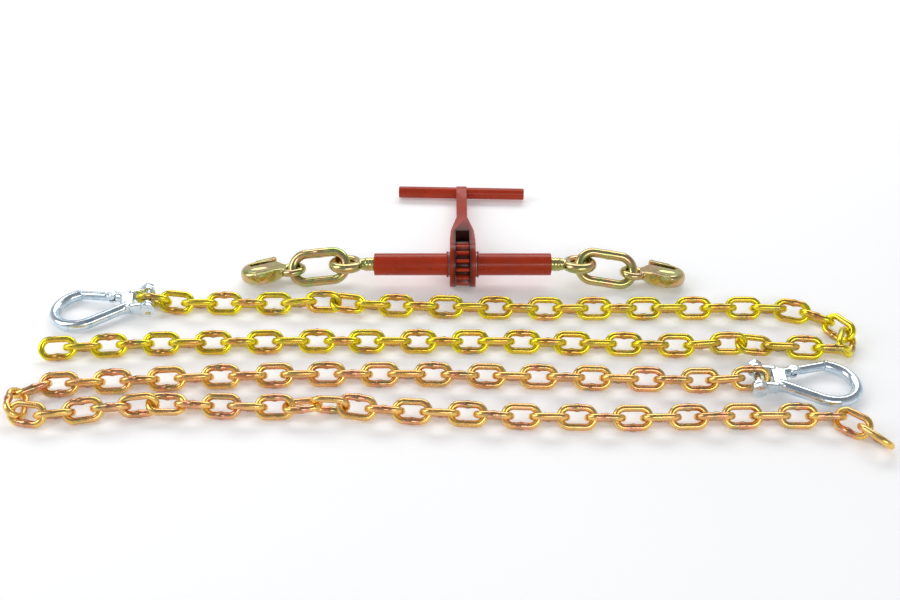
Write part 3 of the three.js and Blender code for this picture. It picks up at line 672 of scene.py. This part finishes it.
def gate_shape():
    start = GATE_PIVOT + GATE_WAY * (CHEEK_RADIUS + 0.8)
    end = on_bow(NOSE_ANGLE) - GATE_WAY * 1.2
    shaft = rod_between(start, end, GATE_RADIUS)
    bpy.ops.object.mode_set(mode="EDIT")
    pick(shaft, "faces", lambda face: face.normal.dot(GATE_WAY) > 0.9)
    bpy.ops.mesh.inset(thickness=1.2)
    bpy.ops.transform.translate(value=GATE_WAY * 0.6)
    bpy.ops.object.mode_set(mode="OBJECT")
    knuckle = rod(4.4, 2 * TONGUE_HALF, GATE_PIVOT, (0, 0, 1))
    root = GATE_PIVOT + GATE_WAY * 5
    bpy.ops.mesh.primitive_cube_add(size=1, location=root, scale=(10, 8.2, 2 * TONGUE_HALF),
                                    rotation=(0, 0, atan2(GATE_WAY.y, GATE_WAY.x)))
    return forged(merged(shaft, knuckle, added()), 0.6, 4)


def hex_head(size, low, high):
    """A hexagon along Y with its corners turned off at the outer end."""
    piece = rod(size / 2, high - low, (0, (low + high) / 2, 0), (0, 1, 0), sides=6)
    return edged(piece, 0.7, angle=20, segments=3)


def threaded(radius, start, end, pitch, axis_y=False):
    """A rod along X with a thread's crests standing out of it, closed at both ends."""
    turns = int((end - start) / pitch)
    piece = rod(radius * 0.9, end - start, ((start + end) / 2, 0, 0), sides=28)
    bpy.ops.object.mode_set(mode="EDIT")
    pick(piece, "edges", lambda edge: abs(edge.verts[0].co.x - edge.verts[1].co.x) > 1)
    bpy.ops.mesh.subdivide(number_cuts=2 * turns - 1)
    step = (end - start) / (2 * turns)
    pick(piece, "verts", lambda point: round((point.co.x - start) / step) % 2 == 1)
    bpy.ops.transform.resize(value=(1, 1.11, 1.11), center_override=((start + end) / 2, 0, 0))
    lean = atan(pitch / (2 * pi * radius))
    pick(piece, "verts", lambda point: start + step < point.co.x < end - step)
    for point in bmesh.from_edit_mesh(piece.data).verts:
        if point.select:
            point.co.x += tan(lean) * point.co.y
    bpy.ops.object.mode_set(mode="OBJECT")
    if axis_y:
        piece.data.transform(Matrix.Rotation(pi / 2, 4, "Z"))
    return edged(piece, 0.15, angle=15, segments=1)


def round_head(low, high):
    """A button head along Y with a dimple in its outer face."""
    piece = rod(9, high - low, (0, (low + high) / 2, 0), (0, 1, 0), sides=48)
    bpy.ops.object.mode_set(mode="EDIT")
    pick(piece, "faces", lambda face: face.normal.y < -0.9)
    bpy.ops.mesh.inset(thickness=2.2)
    bpy.ops.mesh.inset(thickness=2.6)
    bpy.ops.transform.translate(value=(0, 1.2, 0))
    bpy.ops.mesh.inset(thickness=2)
    bpy.ops.transform.translate(value=(0, 0.8, 0))
    bpy.ops.object.mode_set(mode="OBJECT")
    return edged(piece, 0.8, angle=25, segments=3)


def coil(radius, wire, turns, start, end):
    """A compression spring from one point to another."""
    length = (end - start).length
    bpy.ops.mesh.primitive_circle_add(vertices=8, radius=wire, fill_type="NGON", location=(radius, 0, wire),
                                      rotation=(pi / 2, 0, 0))
    piece = added()
    apply(piece, "SCREW", angle=2 * pi, screw_offset=(length - 2 * wire) / turns, iterations=turns,
          steps=14, render_steps=14)
    bpy.ops.object.mode_set(mode="EDIT")
    bpy.ops.mesh.select_all(action="SELECT")
    bpy.ops.mesh.remove_doubles(threshold=0.0005)
    bpy.ops.mesh.normals_make_consistent(inside=False)
    bpy.ops.object.mode_set(mode="OBJECT")
    turn = (end - start).to_track_quat("Z", "Y").to_matrix().to_4x4()
    piece.data.transform(Matrix.Translation(start) @ turn)
    only(piece)
    bpy.ops.object.shade_smooth()
    return piece


snap_body = snap_body_shape()
snap_gate = gate_shape()
gate_pin = edged(rod(2, 2 * SNAP_WIRE + 0.2, GATE_PIVOT, (0, 0, 1)), 0.5)
gate_spring = coil(1.0, 0.28, 7, GATE_PIVOT.lerp(NECK, 0.44), GATE_PIVOT.lerp(NECK, 0.92))
shank = merged(
    rod(BOLT_RADIUS, 2 * OUTER + 2, (0, 0, 0), (0, 1, 0)),
    threaded(BOLT_RADIUS, OUTER, OUTER + 9, 1.5, True),
)
heads = {
    "chain_1": round_head(-OUTER - 6.3, -OUTER - 0.3),
    "chain_2": hex_head(19.6, -OUTER - 6.3, -OUTER - 0.3),
}
nut = hex_head(18, OUTER + 0.3, OUTER + 7)
for chain_name, chain in CHAINS.items():
    yaw = radians(chain["snap_yaw"])
    point = bolt_points[chain_name]
    droop = asin((point.z - SNAP_WIRE - 0.05) / SNAP_LENGTH)
    spot = in_layout(turned(point, pi if cos(yaw) < 0 else 0, droop, yaw))
    body = f"{chain_name}_snap"
    parts = (
        (copied(snap_body), "snap_body", body), (copied(snap_gate), "snap_gate", f"{chain_name}_gate"),
        (copied(gate_pin), "gate_pin", body), (copied(gate_spring), "gate_spring", body),
        (merged(copied(shank), heads[chain_name]), "clevis_bolt", body), (copied(nut), "clevis_nut", body),
    )
    for piece, node, rides_on in parts:
        spring = node == "gate_spring"
        place(piece, f"{chain_name}_{node}_forged", spot, rides_on, STEEL if spring else BRIGHT_ZINC,
              "plain_steel" if spring else "bright_zinc", f"{chain_name}_{node}")
for pattern in (snap_body, snap_gate, gate_pin, gate_spring, shank, nut):
    bpy.data.objects.remove(pattern)

# ---- Binder, in a frame on the barrel's axis, with the handle towards +Y --------------------------
BARREL_LENGTH = 224
BARREL_RADIUS = 14.1
BARREL_BORE = 10.1
YOKE_WIDTH = 32.4
HANDLE_LENGTH = 207
HANDLE_EYE = 9.6
HANDLE_DROP = asin((BARREL_CENTRE.z - HANDLE_EYE - 0.05) / HANDLE_LENGTH)
EYE_X = BARREL_LENGTH / 2 + 36
EYE_RING = 16
EYE_WIRE = 6.4
EYE_ROLL = radians(-13)
COUPLING_SPAN = 70
COUPLING_WIDTH = 36.5
COUPLING_ROLL = radians(45)
COUPLING_WIRE = 12
GRIP_LENGTH = 176
GRIP_RADIUS = 8
PAWL_PIVOT = 44
PAWL_PIN_RADIUS = 4
WASHER_RADIUS = 16.2
WASHER_THICKNESS = 1.2
COLLAR_RADIUS = 16.6
COLLAR_THICKNESS = 2.6
SCREW_RADIUS = 9
THREAD_PITCH = 4.2333
HOOK_EYE_RING = 12.4
HOOK_EYE_WIRE = 4.7
HOOK_THICKNESS = 16.8
HOOK_BEND = Vector((43, 0, 0))
HOOK_BEND_RADIUS = 24
HOOK_SLOT = 10
HOOK_TIP_BAR = 8
HOOK_SLANT = radians(22)
HOOK_EYE_HEIGHT = 17
HOOK_TILT = radians(-12)
HOOK_DROOP = radians(5.8)

on_barrel = in_layout(Matrix.Translation(BARREL_CENTRE))
on_handle = on_barrel @ Matrix.Rotation(-HANDLE_DROP, 4, "X")


def softened(node, width):
    """A copy of a CAD piece with its flat faces made whole and its edges rounded."""
    piece = copied(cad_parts[node])
    piece.parent = None
    for label in [key for key in piece.keys() if key.startswith("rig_")]:
        del piece[label]
    only(piece)
    bpy.ops.object.mode_set(mode="EDIT")
    bpy.ops.mesh.select_all(action="SELECT")
    bpy.ops.mesh.remove_doubles(threshold=0.00001)
    bpy.ops.mesh.dissolve_limited(angle_limit=radians(1))
    bpy.ops.object.mode_set(mode="OBJECT")
    edged(piece, width * MM, angle=34, segments=3)
    return piece


def with_painted_shade(piece, frame_matrix, rule, amount):
    """Marks the points that get painted shade in a recess, by where they lie in the given frame."""
    recess_shade = piece.data.attributes.new("recess_shade", "FLOAT", "POINT")
    home = frame_matrix.inverted()
    for point, mark in zip(piece.data.vertices, recess_shade.data):
        mark.value = amount if rule(home @ point.co) else 0
    return piece


def barrel_tube():
    piece = rod(BARREL_RADIUS, BARREL_LENGTH, sides=64)
    bpy.ops.object.mode_set(mode="EDIT")
    pick(piece, "faces", lambda face: abs(face.normal.x) > 0.9)
    bpy.ops.mesh.inset(thickness=BARREL_RADIUS - BARREL_BORE)
    bpy.ops.mesh.bridge_edge_loops()
    bpy.ops.object.mode_set(mode="OBJECT")
    return edged(piece, 0.9, angle=60, segments=3)


place(barrel_tube(), "barrel_tube", on_barrel, "barrel", RED, "red_paint", "barrel")
still = Matrix.Identity(4)
# Painted shade: the gear close to its axis and the inside of the yoke's window are marked to be painted near
# black.
teeth = with_painted_shade(softened("ratchet_gear", 0.5), on_handle, lambda spot: hypot(spot.y, spot.z) < 23, 0.9)
place(teeth, "ratchet_teeth", still, "barrel", RED, "red_paint", "ratchet_gear")
yoke = with_painted_shade(softened("handle_yoke", 1.1), on_handle, lambda spot: abs(spot.x) < 9 and spot.y < 58, 0.9)
place(yoke, "forged_yoke", still, "handle", RED, "red_paint", "handle_yoke")
place(softened("pawl", 0.4), "pawl_claws", still, "pawl", STEEL, "plain_steel", "pawl")
place(softened("detent_plunger", 0.3), "detent_pin", still, "detent", STEEL, "plain_steel", "detent_plunger")
pin = edged(rod(PAWL_PIN_RADIUS, YOKE_WIDTH - 3, (0, PAWL_PIVOT, 0)), 0.7)
place(pin, "pawl_pivot_pin", on_handle, "handle", STEEL, "plain_steel", "pawl_pin")
detent_coil = coil(2.3, 0.45, 5, Vector((0, 64.2, 0)), Vector((0, 76.4, 0)))
place(detent_coil, "detent_coil", on_handle, "handle", STEEL, "plain_steel", "detent_spring")
grip = Matrix.Translation((0, HANDLE_LENGTH, 0)) @ Matrix.Rotation(radians(-2.5), 4, "Z")
grip_rod = edged(rod(GRIP_RADIUS, GRIP_LENGTH, sides=56), 1.1, segments=3)
place(grip_rod, "grip_rod", on_handle @ grip, "handle", RED, "red_paint", "grip_bar")

washer_x = YOKE_WIDTH / 2 + 0.9
collar_x = washer_x + 2.2
for side, label in ((-1, "left"), (1, "right")):
    washer = ring(WASHER_RADIUS, BARREL_RADIUS + 0.4, WASHER_THICKNESS, side * washer_x)
    place(washer, f"washer_{label}", on_barrel, "frame", STEEL, "plain_steel", f"thrust_washer_{label}")
    collar = ring(COLLAR_RADIUS, BARREL_RADIUS + 0.1, COLLAR_THICKNESS, side * collar_x, 0.5)
    place(collar, f"snap_collar_{label}", on_barrel, "barrel", RED, "red_paint", f"collar_{label}")


def eye_screw_shape():
    """A forged eye whose neck runs into a threaded shank."""
    bpy.ops.mesh.primitive_torus_add(major_radius=EYE_RING, minor_radius=EYE_WIRE, major_segments=56,
                                     minor_segments=24, location=(EYE_X, 0, 0))
    eye = added()
    bpy.ops.mesh.primitive_cone_add(vertices=40, radius1=8.6, radius2=6.2, depth=12,
                                    location=(EYE_X - EYE_RING - 5, 0, 0), rotation=(0, pi / 2, 0))
    eye = forged(merged(eye, added()), 0.8, 4)
    return merged(eye, threaded(SCREW_RADIUS, 12, EYE_X - EYE_RING - 8, THREAD_PITCH))


def hook_web():
    """The tapered body between the hook's eye and its bend."""
    bpy.ops.mesh.primitive_cube_add(size=1, location=(26.5, 0, 0), scale=(33, 2, 16))
    piece = added()
    bpy.ops.object.mode_set(mode="EDIT")
    pick(piece, "edges", lambda edge: abs(edge.verts[0].co.x - edge.verts[1].co.x) > 20)
    bpy.ops.mesh.subdivide(number_cuts=2)
    for column, low, high in ((0, -7, 8.6), (1, -15.2, 14), (2, -21, 14.6), (3, -24, 10)):
        x = 10 + 11 * column
        nudge(piece, lambda point: abs(point.x - x) < 1 and -1.5 < point.y < 0, (0, low + 1, 0))
        nudge(piece, lambda point: abs(point.x - x) < 1 and 0 < point.y < 1.5, (0, high - 1, 0))
    pick(piece, "verts", lambda point: point.co.x < 11)
    bpy.ops.transform.resize(value=(1, 1, 0.62), center_override=(10, 0, 0))
    bpy.ops.object.mode_set(mode="OBJECT")
    return piece


def grab_hook_shape():
    """A forged grab hook: eye at the origin, bend towards +X, and its slot slanting up to the eye."""
    way = Vector((-cos(HOOK_SLANT), sin(HOOK_SLANT), 0))
    outward = Vector((sin(HOOK_SLANT), cos(HOOK_SLANT), 0))
    tip_line = HOOK_BEND + outward * (HOOK_BEND_RADIUS - HOOK_TIP_BAR / 2)
    bpy.ops.mesh.primitive_torus_add(
        major_radius=HOOK_EYE_RING, minor_radius=HOOK_EYE_WIRE, major_segments=48, minor_segments=20
    )
    eye = added()
    disc = rod(HOOK_BEND_RADIUS, HOOK_THICKNESS, HOOK_BEND, (0, 0, 1), sides=64)
    disc = edged(disc, 6, angle=60, segments=5)
    bpy.ops.mesh.primitive_cube_add(
        size=1, location=tip_line + way * 12, scale=(25, HOOK_TIP_BAR, HOOK_THICKNESS),
        rotation=(0, 0, pi - HOOK_SLANT),
    )
    tip = edged(added(), 1.8, angle=60, segments=3)
    tip_end = rod(HOOK_TIP_BAR / 2, HOOK_THICKNESS, tip_line + way * 24, (0, 0, 1), sides=32)
    piece = merged(disc, hook_web(), tip, tip_end)
    slot_end = HOOK_BEND + outward * (HOOK_BEND_RADIUS - HOOK_TIP_BAR - HOOK_SLOT / 2) - way * 6
    apply(piece, "REMESH", mode="VOXEL", voxel_size=0.8)
    bpy.ops.mesh.primitive_cube_add(size=1, location=slot_end + way * 26, scale=(52, HOOK_SLOT, 30),
                                    rotation=(0, 0, pi - HOOK_SLANT))
    cut(piece, added())
    cut(piece, rod(HOOK_SLOT / 2, 30, slot_end, (0, 0, 1), sides=32))
    cut(piece, rod(10.5, 40, (0, 0, 0), (0, 0, 1), sides=48))
    for face in (-1, 1):
        bpy.ops.mesh.primitive_uv_sphere_add(
            segments=32, ring_count=16, radius=1, location=(41, -9.5, face * 10),
            scale=(15, 6.5, 3.2), rotation=(0, 0, radians(-8)),
        )
        cut(piece, added())
    return forged(merged(piece, eye), 0.8, 7)


eye_screw = eye_screw_shape()
coupling = wire_loop(COUPLING_SPAN, COUPLING_WIDTH, COUPLING_WIRE, 36, 20, 12, 1.05)
grab_hook = grab_hook_shape()
for side, label, sway in ((-1, "left", 5), (1, "right", -2)):
    yaw = pi if side < 0 else 0
    screw_spot = on_barrel @ turned((0, 0, 0), -EYE_ROLL if side < 0 else EYE_ROLL, 0, yaw)
    place(copied(eye_screw), f"eye_screw_{label}_forged", screw_spot, f"screw_{label}", YELLOW_ZINC,
          "yellow_zinc", f"eye_screw_{label}")
    drop = HOOK_EYE_HEIGHT - BARREL_CENTRE.z
    eye = Vector((side * EYE_X, 0, 0))
    hook_eye = eye + Vector((side * sqrt(COUPLING_SPAN ** 2 - drop ** 2 - sway ** 2), sway, drop))
    along = (hook_eye - eye).normalized()
    level = (side * Vector((-along.y, along.x, 0))).normalized()
    up = side * along.cross(level)
    width = level * cos(COUPLING_ROLL) + up * sin(COUPLING_ROLL)
    spot = frame_at((eye + hook_eye) / 2, along, width, along.cross(width))
    place(copied(coupling), f"coupling_link_{label}_welded", on_barrel @ spot, f"coupling_{label}",
          YELLOW_ZINC, "yellow_zinc", f"coupling_link_{label}")
    lean = pi - HOOK_TILT if side < 0 else HOOK_TILT
    hook_spot = on_barrel @ turned(hook_eye, lean, HOOK_DROOP, yaw)
    place(copied(grab_hook), f"grab_hook_{label}_forged", hook_spot, f"hook_{label}", YELLOW_ZINC,
          "yellow_zinc", f"grab_hook_{label}")
for pattern in (eye_screw, coupling, grab_hook):
    bpy.data.objects.remove(pattern)
